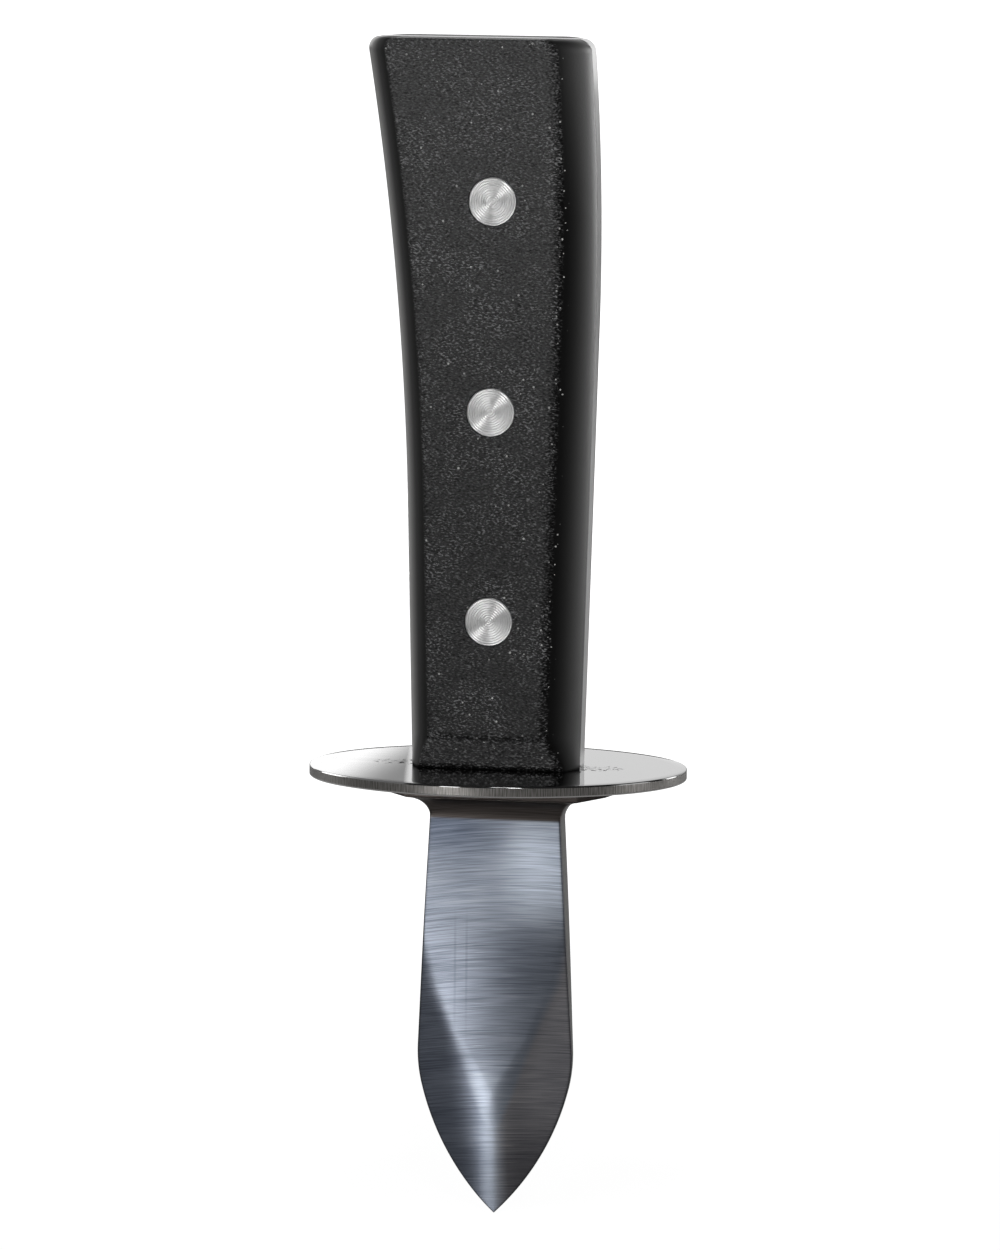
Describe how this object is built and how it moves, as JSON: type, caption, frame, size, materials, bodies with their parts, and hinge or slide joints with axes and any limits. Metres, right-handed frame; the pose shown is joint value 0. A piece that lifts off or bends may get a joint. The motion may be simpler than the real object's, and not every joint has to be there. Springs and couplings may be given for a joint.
{
  "type": "oyster knife",
  "caption": "Full-tang oyster knife with a short stiff pointed blade, an oval steel finger guard and pebbled black scales on cutlery rivets.",
  "frame": {"origin": "tip of the blade's point, below the middle of the guard; the lowest point of the knife when it stands on its point", "axes": "+Z from the point to the butt, +Y from the front scale through the tang to the rear scale, +X across the width, away from the flared heel of the handle"},
  "size_m": [0.0546, 0.0478, 0.17],
  "materials": {
    "forged_steel": "satin, brushed across the blade",
    "guard_steel": "mirror-polished top, ground rim",
    "scale_black": "fine pebbled grain",
    "rivet_aluminium": "turned, bright"
  },
  "bodies": {
    "root": {"blade_and_tang": "forged_steel", "guard": "guard_steel", "front_scale": "scale_black", "rear_scale": "scale_black", "front_rivet_bottom": "rivet_aluminium", "front_rivet_middle": "rivet_aluminium", "front_rivet_top": "rivet_aluminium", "rear_rivet_bottom": "rivet_aluminium", "rear_rivet_middle": "rivet_aluminium", "rear_rivet_top": "rivet_aluminium"}
  },
  "joints": []
}
